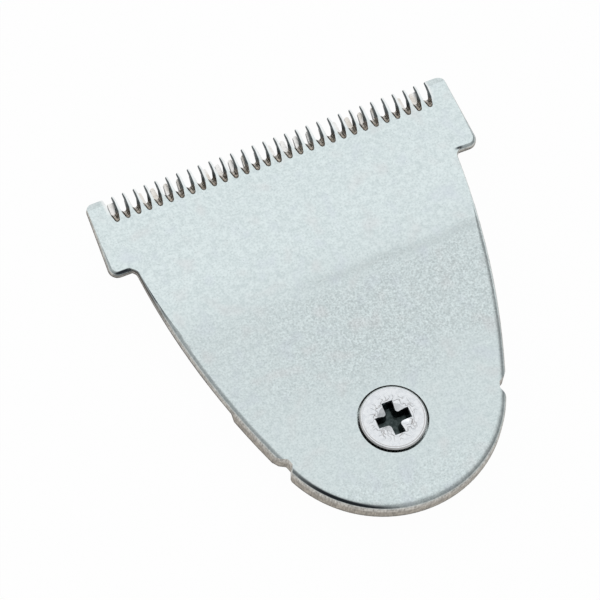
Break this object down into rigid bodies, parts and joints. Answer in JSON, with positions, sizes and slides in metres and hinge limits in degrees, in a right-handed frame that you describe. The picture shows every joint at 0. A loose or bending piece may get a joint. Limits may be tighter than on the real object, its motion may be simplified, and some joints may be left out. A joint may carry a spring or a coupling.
{
  "type": "hair clipper blade",
  "caption": "T-shaped clip-on trimmer blade: a steel comb plate with fine teeth and a rounded tail, over a sliding cutter driven through a slotted follower and pressed by a hairpin spring.",
  "frame": {"origin": "on the screw's axis, in the plane of the retainer's underside, on which the blade rests", "axes": "+X along the tooth row, +Y from the tail to the teeth, +Z out of the skin face"},
  "size_m": [0.0368, 0.0385, 0.0053],
  "materials": {
    "ground_steel": "satin, tumbled",
    "cutter_steel": "fine ground",
    "follower_plastic": "moulded, matt",
    "spring_wire": "drawn wire",
    "retainer_steel": "zinc plated",
    "plated_screw": "nickel plated"
  },
  "bodies": {
    "comb": {"comb_blade": "ground_steel", "tension_spring": "spring_wire", "spring_retainer": "retainer_steel", "screw": "plated_screw"},
    "cutter": {"cutter_blade": "cutter_steel", "drive_follower": "follower_plastic"}
  },
  "joints": [
    {"name": "cutter_slide", "type": "slide", "parent": "comb", "child": "cutter", "axis": [1, 0, 0], "range_m": [-0.0002, 0.00088]}
  ]
}
